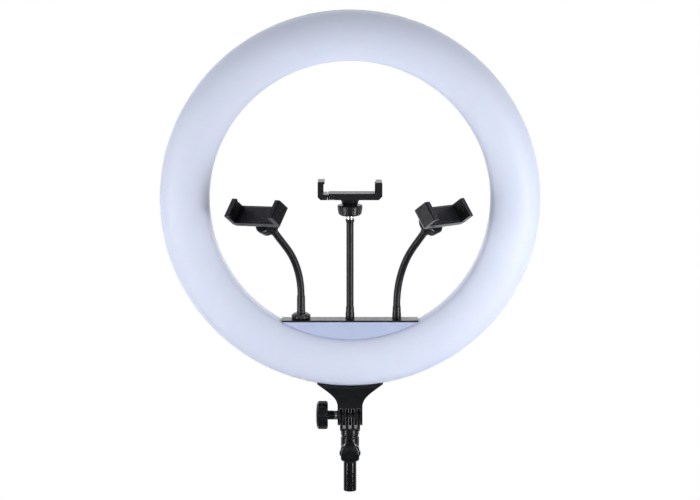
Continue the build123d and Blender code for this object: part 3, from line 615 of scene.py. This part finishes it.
def build_pad(name, base, x_dir, y_dir, up, length, thick, rib_pitch, rib_depth, corner):
    """Strip centred on base, length along x_dir, standing along up; ribs run along y_dir."""
    core_x, core_y = length / 2 - corner, PAD_WIDTH / 2 - corner

    def inset(x, y):
        """Distance inside the rounded outline."""
        over_x, over_y = abs(x) - core_x, abs(y) - core_y
        outside = Vector((max(over_x, 0), max(over_y, 0))).length
        return corner - (outside + min(max(over_x, over_y), 0.0))

    def height(x, y):
        depth_in = max(0.0, inset(x, y))
        rise = min(1.0, depth_in / RIM_ROUND)
        z = thick * (0.45 + 0.55 * math.sqrt(max(0.0, 1 - (1 - rise) ** 2)))
        ribbed = min(1.0, max(0.0, (depth_in - RIM_FLAT) / RIB_FADE))
        wave = 0.5 + 0.5 * math.cos(2 * math.pi * x / rib_pitch)
        return z - rib_depth * ribbed * (1 - wave ** 0.6)

    def rim(rows):
        return (rows[0] + [row[-1] for row in rows[1:]] + rows[-1][-2::-1]
                + [row[0] for row in rows[-2:0:-1]])

    columns = max(12, int(length / (rib_pitch / COLUMNS_PER_RIB)))
    row_count = max(10, int(PAD_WIDTH / PAD_ROW))
    bm = bmesh.new()
    top, low = [], []
    for j in range(row_count + 1):
        top.append([])
        low.append([])
        for i in range(columns + 1):
            x = -length / 2 + length * i / columns
            y = -PAD_WIDTH / 2 + PAD_WIDTH * j / row_count
            if inset(x, y) < 0:      # pull the corner in to its round
                centre_x, centre_y = math.copysign(core_x, x), math.copysign(core_y, y)
                spoke = Vector((x - centre_x, y - centre_y)).normalized() * corner
                x, y = centre_x + spoke.x, centre_y + spoke.y
            seat = base + x_dir * x + y_dir * y
            top[-1].append(bm.verts.new(seat + up * height(x, y)))
            low[-1].append(bm.verts.new(seat + up * PAD_LIFT))
    for j in range(row_count):
        for i in range(columns):
            bm.faces.new((top[j][i], top[j][i + 1], top[j + 1][i + 1], top[j + 1][i]))
            bm.faces.new((low[j][i], low[j + 1][i], low[j + 1][i + 1], low[j][i + 1]))
    bridge(bm, rim(low), rim(top))
    bmesh.ops.remove_doubles(bm, verts=bm.verts, dist=1e-6)
    return make_part(name, bm, "pad_rubber")


for side in NECKS:
    origin, along, across, axis = clamp_frame(side)
    plate_pad = build_pad(
        f"{side}_plate_pad", origin + along * (2.4 * MM) + axis * (18.5 * MM),
        along, across, axis, length=55.6 * MM, thick=0.9 * MM,
        rib_pitch=2.3 * MM, rib_depth=0.30 * MM, corner=1.6 * MM)
    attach(plate_pad, f"{side}_clamp")
    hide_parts(f"{side}_body_pads")
    for kind, offset, facing, length, carrier, replaced in JAW_PADS:
        middle = (JAW_PAD_FOOT + length / 2) * MM
        jaw_pad = build_pad(
            f"{side}_{kind}_pad", origin + along * (offset * MM) + axis * middle,
            axis, across, along * facing, length=length * MM, thick=1.2 * MM,
            rib_pitch=1.8 * MM, rib_depth=0.45 * MM, corner=1.2 * MM)
        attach(jaw_pad, f"{side}_{carrier}")
        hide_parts(f"{side}_{replaced}")

# ---------------------------------------------------------------------------
# camera: a long lens, a little above the ring's centre
# ---------------------------------------------------------------------------
CAMERA_ELEVATION = math.radians(9.56)
CAMERA_DISTANCE = 2.6


def place_facing(name, data, location, target):
    """Link an object at location, looking at target."""
    obj = bpy.data.objects.new(name, data)
    scene.collection.objects.link(obj)
    obj.location = location
    obj.rotation_mode = "QUATERNION"
    obj.rotation_quaternion = (target - obj.location).to_track_quat("-Z", "Y")
    return obj


ring_centre = Vector((0, 0, RING_Z))
view_direction = Vector((0, -math.cos(CAMERA_ELEVATION), math.sin(CAMERA_ELEVATION)))
lens = bpy.data.cameras.new("camera")
scene.camera = place_facing("camera", lens, ring_centre + view_direction * CAMERA_DISTANCE,
                            ring_centre)
lens.sensor_width = 36.0
lens.lens = 111.24
lens.shift_y = -0.0713
lens.clip_start, lens.clip_end = 0.05, 200.0

# ---------------------------------------------------------------------------
# studio: white sweep behind, soft boxes, dim camera side
# ---------------------------------------------------------------------------
scene.view_settings.view_transform = "Standard"
scene.view_settings.look = "None"
scene.view_settings.exposure = 0.0
scene.view_settings.gamma = 1.0


def split_by_camera(tree, output_kind, lighting, seen):
    """Output that shows seen to the camera and lighting to all other rays."""
    output = add_node(tree, output_kind)
    mix = add_node(tree, "MixShader")
    path = add_node(tree, "LightPath")
    tree.links.new(path.outputs["Is Camera Ray"], mix.inputs[0])
    tree.links.new(lighting.outputs[0], mix.inputs[1])
    tree.links.new(seen.outputs[0], mix.inputs[2])
    tree.links.new(mix.outputs[0], output.inputs[0])
    return path


def colour_node(tree, kind, colour, strength=None):
    node = add_node(tree, kind)
    node.inputs[0].default_value = (*colour, 1)
    if strength is not None:
        node.inputs[1].default_value = strength
    return node


def build_world():
    world = bpy.data.worlds.new("studio")
    scene.world = world
    tree = empty_tree(world)
    link = tree.links.new
    seen = colour_node(tree, "Background", (1, 1, 1), strength=1.0)
    lighting = colour_node(tree, "Background", (0.965, 0.975, 1.0))
    path = split_by_camera(tree, "OutputWorld", lighting, seen)
    direction = add_node(tree, "SeparateXYZ")
    link(add_node(tree, "TexCoord").outputs["Generated"], direction.inputs[0])

    def front_to_back(span, strength):
        ramp = add_node(tree, "MapRange", interpolation_type="SMOOTHSTEP")
        ramp.inputs["From Min"].default_value = span[0]
        ramp.inputs["From Max"].default_value = span[1]
        ramp.inputs["To Min"].default_value = strength[0]
        ramp.inputs["To Max"].default_value = strength[1]
        link(direction.outputs["Y"], ramp.inputs["Value"])
        return ramp.outputs["Result"]

    # the sweep is lit brightly for reflections, less so for the soft fill it gives
    pick = add_node(tree, "Mix", data_type="FLOAT")
    link(path.outputs["Is Glossy Ray"], pick.inputs[0])
    link(front_to_back(span=(-0.6, 0.9), strength=(0.19, 0.84)), pick.inputs[2])
    link(front_to_back(span=(0.15, 0.90), strength=(0.10, 1.35)), pick.inputs[3])
    link(pick.outputs[0], lighting.inputs[1])


def soft_box(name, azimuth, elevation, distance, width, height, power, aim_z=0.30):
    """Azimuth 0 is the camera's side; positive goes to the viewer's right."""
    data = bpy.data.lights.new(name, "AREA")
    data.shape = "RECTANGLE"
    data.size, data.size_y = width, height
    data.energy = power
    turn, rise = math.radians(azimuth), math.radians(elevation)
    target = Vector((0, 0, aim_z))
    direction = Vector((math.sin(turn) * math.cos(rise), -math.cos(turn) * math.cos(rise),
                        math.sin(rise)))
    box = place_facing(name, data, target + distance * direction, target)
    box.visible_camera = False


build_world()
soft_box("box_left", azimuth=-56, elevation=-7, distance=0.95, width=0.16, height=0.84, power=4.9)
soft_box("box_right", azimuth=50, elevation=-9, distance=0.85, width=0.13, height=0.74, power=5.3)
soft_box("box_low", azimuth=0, elevation=4, distance=1.0, width=0.7, height=0.24, power=0.30,
         aim_z=0.04)
soft_box("box_top", azimuth=180, elevation=76, distance=1.5, width=1.1, height=0.6, power=4.5)

# ---------------------------------------------------------------------------
# pale floor: a disc of widening rings
# ---------------------------------------------------------------------------
FLOOR_RADII = (0.4, 1.0, 2.5, 6.0, 14.0, 40.0)
FLOOR_SEGMENTS = 64


def build_floor():
    bm = bmesh.new()
    centre = bm.verts.new((0, 0, 0))
    angles = [2 * math.pi * i / FLOOR_SEGMENTS for i in range(FLOOR_SEGMENTS)]
    rings = [[bm.verts.new((r * math.cos(a), r * math.sin(a), 0)) for a in angles]
             for r in FLOOR_RADII]
    for i in range(FLOOR_SEGMENTS):
        bm.faces.new((centre, rings[0][i], rings[0][(i + 1) % FLOOR_SEGMENTS]))
    for inner, outer in zip(rings, rings[1:]):
        bridge(bm, inner, outer)
    floor = link_mesh("floor", bm)
    floor.location = (0, 0, -0.0008)
    # the lamp stands high above a real floor, so glossy parts see the sweep and boxes instead
    floor.visible_glossy = False
    material = bpy.data.materials.new("floor_white")
    tree = empty_tree(material)
    diffuse = colour_node(tree, "BsdfDiffuse", (0.88, 0.885, 0.90))
    white = colour_node(tree, "Emission", (1, 1, 1), strength=1.0)
    split_by_camera(tree, "OutputMaterial", diffuse, white)
    floor.data.materials.append(material)


build_floor()
